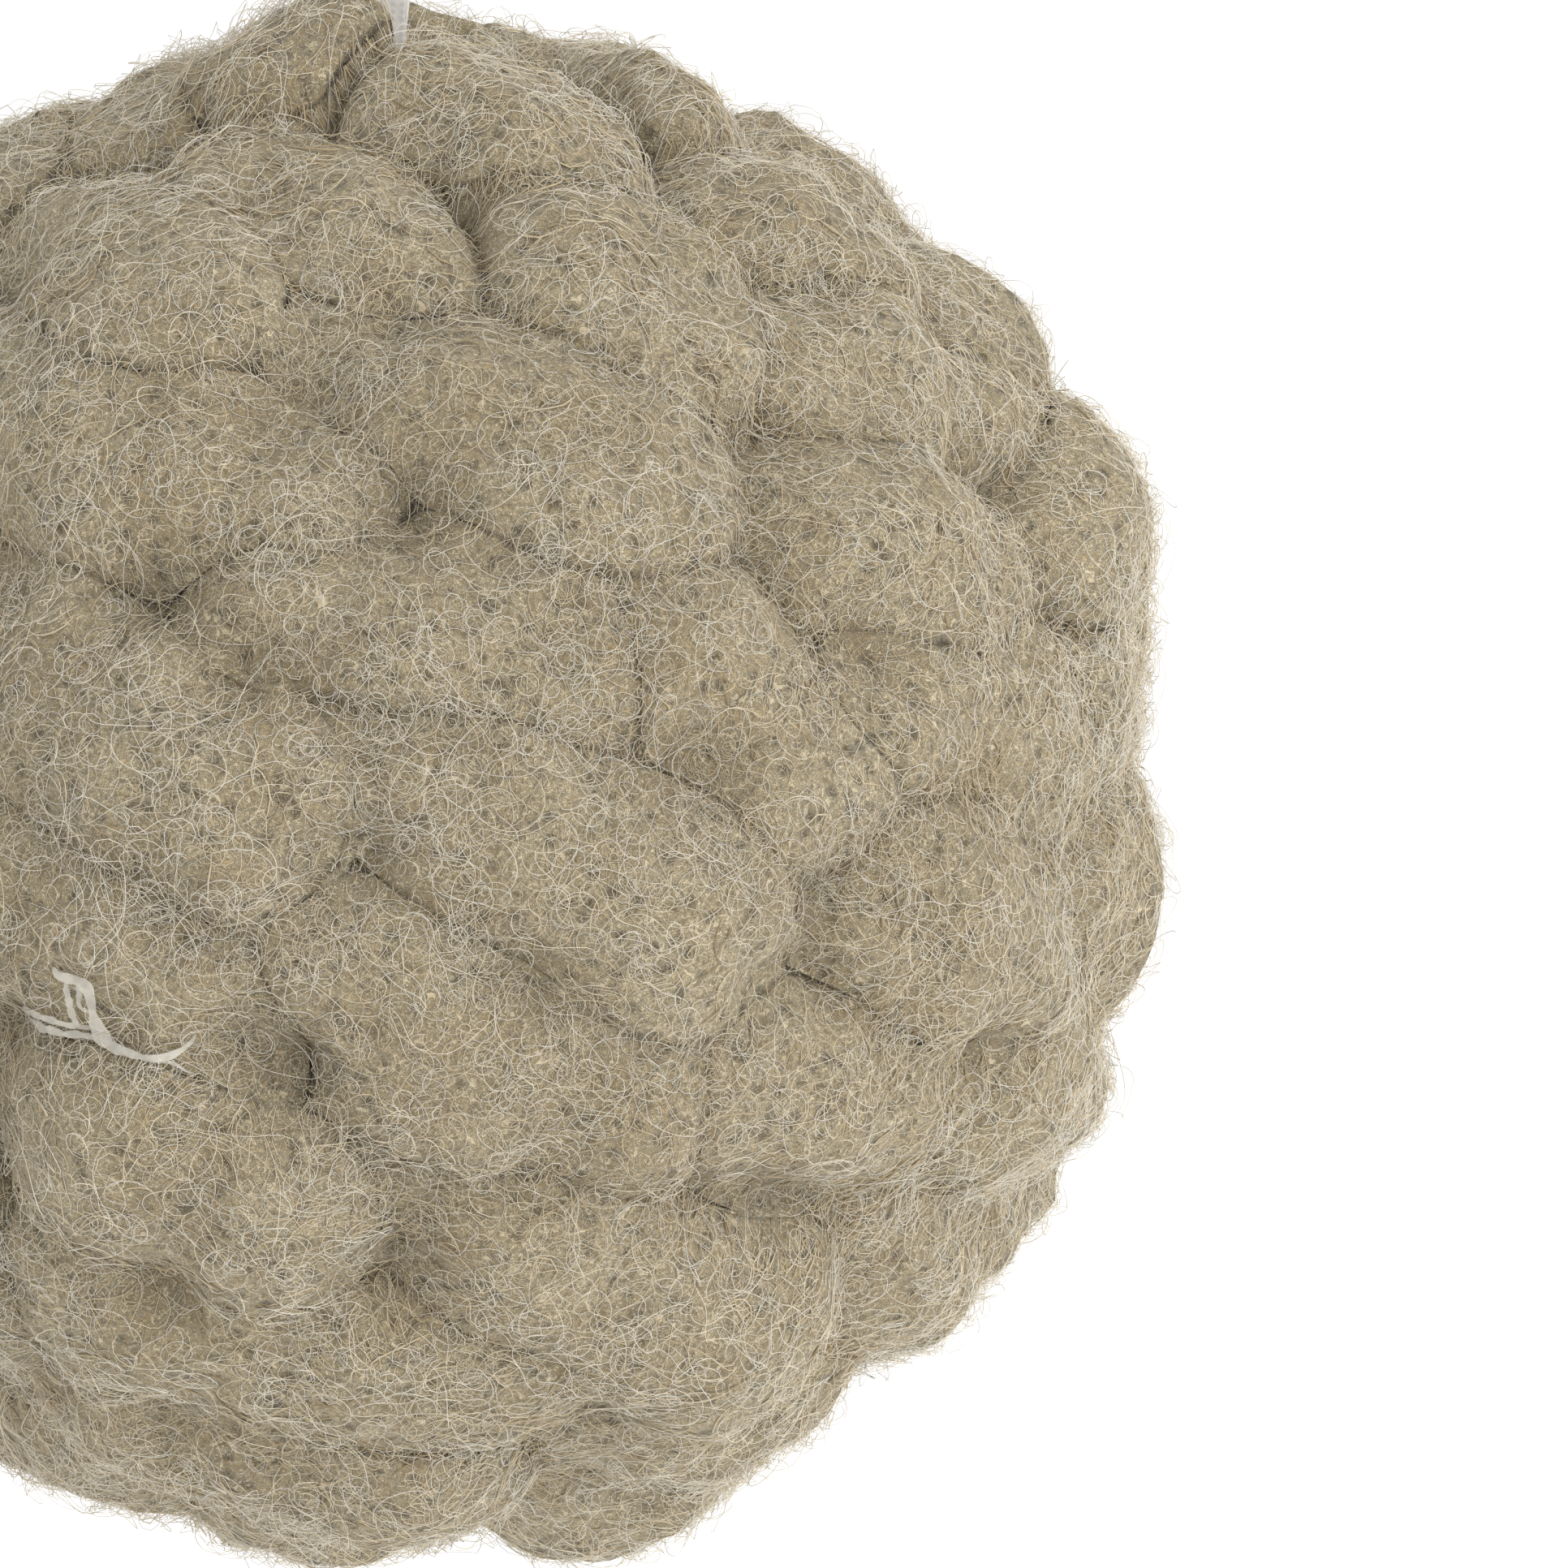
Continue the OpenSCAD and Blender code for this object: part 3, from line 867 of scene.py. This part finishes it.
def ribbon_material():
    """Thin woven ribbon, off-white and a little glossy, with a fine weave and uneven threads."""
    n = Nodes("woven_ribbon", 0.45, sheen=0.2)
    n.shader.inputs["Transmission Weight"].default_value = 0.15
    warp = n.new("ShaderNodeTexWave", Vector=n.place, Scale=1 / (2.0 * MM))
    warp.bands_direction = "X"
    weft = n.new("ShaderNodeTexWave", Vector=n.place, Scale=1 / (1.6 * MM))
    weft.bands_direction = "Z"
    weave = n.math("MULTIPLY", warp.outputs["Fac"], weft.outputs["Fac"])
    slubs = n.noise(1.1 * MM, detail=3.0)
    base = n.mix(n.steps(slubs, 0.3, 0.7), srgb(0.84, 0.83, 0.81), srgb(0.93, 0.92, 0.90))
    n.colour(n.mix(n.math("MULTIPLY", weave, 0.35), base, srgb(0.72, 0.71, 0.69)))
    n.bump(weave, 0.03 * MM, 0.6)
    return n.material


def glue_material(name, alpha=1.0, cloudy=(0.90, 0.885, 0.83), clear=(0.97, 0.965, 0.93)):
    """Cooled hot glue: cloudy, slightly yellow and smooth, with small ripples."""
    n = Nodes(name, 0.32)
    n.shader.inputs["Alpha"].default_value = alpha
    n.shader.inputs["Transmission Weight"].default_value = 0.25
    haze = n.noise(0.9 * MM, detail=3.0)
    n.colour(n.mix(n.steps(haze, 0.35, 0.65), srgb(*cloudy), srgb(*clear)))
    n.bump(haze, 0.12 * MM, 0.5)
    return n.material


def core_material():
    """Smooth white foam with a fine grain of closed beads."""
    n = Nodes("foam_core", 0.8)
    beads = n.new("ShaderNodeTexVoronoi", Vector=n.place, Scale=1 / (2.2 * MM))
    beads.feature = "DISTANCE_TO_EDGE"
    edge = n.steps(beads.outputs["Distance"], 0.0, 0.12)
    n.colour(n.mix(edge, srgb(0.83, 0.82, 0.79), srgb(0.93, 0.925, 0.91)))
    n.bump(edge, 0.15 * MM, 0.6)
    return n.material


def make_loop(material):
    """The loop above the knot, pinched where its ends go into the knot."""
    half = smooth_line(LOOP_ROUTE, 70)
    route = np.concatenate([half, (half * (-1, 1))[-2::-1]]) * MM
    share = np.linspace(0, 1, len(route))
    line = np.stack([0.12 * MM * np.sin(share * 11), route[:, 0], route[:, 1] + CENTRE[2]], axis=1)
    twist = 0.10 * np.sin(share * 2 * math.pi)
    across = np.stack([np.cos(twist), np.sin(twist), np.zeros(len(line))], axis=1)
    pinch = 1 - 0.4 * (1 - ease(np.minimum(share, 1 - share) / 0.05))
    loop = mesh_object("ribbon_loop_strip", *strip(line, across, RIBBON_W * pinch, RIBBON_T), material)
    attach(loop, "hanger")
    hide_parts("ribbon_loop")


def make_neck(material):
    """The two plies of ribbon between the knot and the glue in the core."""
    knot_low = KNOT_Z - KNOT_H / 2
    z = np.linspace(CORE_R - 8 * MM, knot_low + 0.3 * MM, 60)
    free = ease((z - BALL_TOP + 2 * MM) / (4 * MM))
    pinch = ease((z - knot_low + 2.5 * MM) / (2.5 * MM))
    width = (1.95 + 0.65 * free - 0.9 * pinch) * MM
    plies = []
    for side in (-1, 1):
        x = side * (0.04 + 0.10 * free) * MM + 0.05 * MM * np.sin(z / MM * 0.8)
        y = side * (0.2 - 0.04 * free + 0.03 * np.sin(z / MM * 1.3)) * MM
        line = np.stack([x, y, z + CENTRE[2]], axis=1)
        plies.append(strip(line, np.tile([1.0, 0, 0], (len(z), 1)), width, RIBBON_T * 0.9))
    neck = mesh_object("ribbon_neck", *joined(plies), material)
    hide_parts("ribbon_stem", "ribbon_tails")
    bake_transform(neck)
    return neck


def make_knot(material):
    """A small tight overhand knot of the doubled ribbon."""
    t = np.linspace(0, 2 * math.pi, 160, endpoint=False)
    x = (np.sin(t) + 2 * np.sin(2 * t)) * 0.5 * MM
    z = (np.cos(t) - 2 * np.cos(2 * t)) * 0.52 * MM
    y = -np.sin(3 * t) * 0.85 * MM
    line = np.stack([x, y, z + CENTRE[2] + KNOT_Z], axis=1)
    outward = unit(np.stack([x, 0 * x, z], axis=1))
    roll = 0.5 * np.sin(2 * t)[:, None]
    across = outward * (0.35 + 0.2 * roll) + np.array([0, 1, 0]) * (0.9 - roll)
    along = unit(np.roll(line, -1, axis=0) - np.roll(line, 1, axis=0))
    across = across - along * (across * along).sum(axis=1, keepdims=True)
    band = strip(line, across, 1.7 * MM, 0.75 * MM, closed=True)
    knot = mesh_object("ribbon_knot", *band, material)
    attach(knot, "stem")
    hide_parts("loop_knot")
    return knot


def make_wisp(ground):
    """The stray film of glue, lying on top of the fuzz."""
    at = towards(*WISP_AT)
    right = unit(np.cross([0, 0, 1.0], at))
    up = np.cross(at, right)
    far = float(ground.look(ground.floor, at))
    shells = []
    for number, wisp in enumerate(WISPS):
        spots = smooth_line(wisp, 70)
        out = unit(at * far + (spots[:, :1] * right + spots[:, 1:2] * up) * MM)
        share = np.linspace(0, 1, len(out))
        lift = (0.85 - 0.04 * number + 0.12 * np.sin(share * 9 + number)) * MM
        lift = lift - 0.5 * MM * np.abs(2 * share - 1) ** 6
        line = out * (ground.look(ground.floor, out) + lift)[:, None]
        across = np.cross(np.gradient(line, axis=0), out)
        rough = 1 + 0.16 * np.sin(share * 31 + number) + 0.10 * np.sin(share * 67)
        shells.append(strip(line + CENTRE, across, spots[:, 2] * rough * MM, 0.12 * MM, sides=16))
    film = glue_material("glue_film", 0.5, (0.80, 0.785, 0.74), (0.90, 0.885, 0.84))
    wisp = mesh_object("glue_wisp_film", *joined(shells), film)
    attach(wisp, "ball")
    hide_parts("glue_wisp")


def dress_cad():
    """Materials for the CAD nodes that show through gaps: the core, the glue bands and the plug."""
    core, glue = core_material(), glue_material("hot_glue_line")
    for name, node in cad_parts.items():
        if name == "core_ball" or name.startswith("glue_band") or name == "glue_plug":
            node.data.materials.clear()
            node.data.materials.append(core if name == "core_ball" else glue)


# ---------------------------------------------------------------- stage

# The camera looks down a little on the ball. The picture shows VIEW metres at the ball's distance, with the
# ball's centre this far left of the picture's middle and this far below it.
CAMERA_RISE = math.radians(12)
CAMERA_FAR = 0.9
VIEW = 0.102766
BALL_LEFT = 0.025585
BALL_BELOW = 0.000745
SENSOR_MM = 36

# How far the floor lies below the hanging ball.
FLOOR_GAP = 0.12


def make_camera():
    """The camera that frames the ball from the front, cut off at its left."""
    back = np.array([0, -math.cos(CAMERA_RISE), math.sin(CAMERA_RISE)])
    up = np.array([0, math.sin(CAMERA_RISE), math.cos(CAMERA_RISE)])
    right = np.array([1.0, 0, 0])
    data = bpy.data.cameras.new("camera")
    data.sensor_width = SENSOR_MM
    data.lens = SENSOR_MM * CAMERA_FAR / VIEW
    data.clip_start = 0.01
    data.clip_end = 20
    camera = bpy.data.objects.new("camera", data)
    bpy.context.scene.collection.objects.link(camera)
    camera.location = CENTRE + right * BALL_LEFT + up * BALL_BELOW + back * CAMERA_FAR
    camera.rotation_euler = (math.pi / 2 - CAMERA_RISE, 0, 0)
    bpy.context.scene.camera = camera


def area_light(name, place, power, size):
    """A round soft light aimed at the ball, placed from its centre."""
    data = bpy.data.lights.new(name, "AREA")
    data.shape = "DISK"
    data.energy = power
    data.size = size
    light = bpy.data.objects.new(name, data)
    light.location = CENTRE + np.array(place)
    light.rotation_euler = (Vector(CENTRE) - light.location).to_track_quat("-Z", "Y").to_euler()
    bpy.context.scene.collection.objects.link(light)


def make_stage():
    """White light from all round, one soft key light, and a pale floor below the ball."""
    world = bpy.data.worlds.new("studio")
    world.use_nodes = True
    world.node_tree.nodes["Background"].inputs["Color"].default_value = (1, 1, 1, 1)
    world.node_tree.nodes["Background"].inputs["Strength"].default_value = 1.0
    bpy.context.scene.world = world
    bpy.context.scene.view_settings.view_transform = "Standard"
    area_light("key", (0.55, -0.5, 0.25), 3, 0.6)
    n = Nodes("pale_floor", 0.9)
    n.colour(n.mix(n.noise(0.05), (0.95, 0.95, 0.95, 1), (0.98, 0.98, 0.98, 1)))
    n.shader.inputs["Emission Color"].default_value = (1, 1, 1, 1)
    n.shader.inputs["Emission Strength"].default_value = 0.1
    half = 3.0
    low = CAD_BOX[0][2] - FLOOR_GAP
    corners = [(-half, -half, low), (half, -half, low), (half, half, low), (-half, half, low)]
    floor = mesh_object("floor", corners, [(0, 1, 2, 3)], n.material)


def main():
    make_camera()
    ribbon = ribbon_material()
    knot = make_knot(ribbon)
    neck = make_neck(ribbon)
    make_loop(ribbon)
    ground = make_yarn(make_legs(), yarn_material())
    make_wisp(ground)
    dress_cad()
    # Brown, sand and grey are also the valley tints that paint shade into the mat, the curls and the loose
    # fibres.
    tints = [
        fibre_material("fibre_cream", (0.88, 0.84, 0.75)),
        fibre_material("fibre_sand", (0.79, 0.73, 0.605)),
        fibre_material("fibre_grey", (0.86, 0.835, 0.78)),
        fibre_material("fibre_tan", (0.70, 0.63, 0.50)),
        fibre_material("fibre_brown", (0.58, 0.51, 0.385)),
    ]
    many = 1.0
    for kind in FUZZ:
        make_fuzz(ground, tints, many, **kind)
    make_stage()


main()
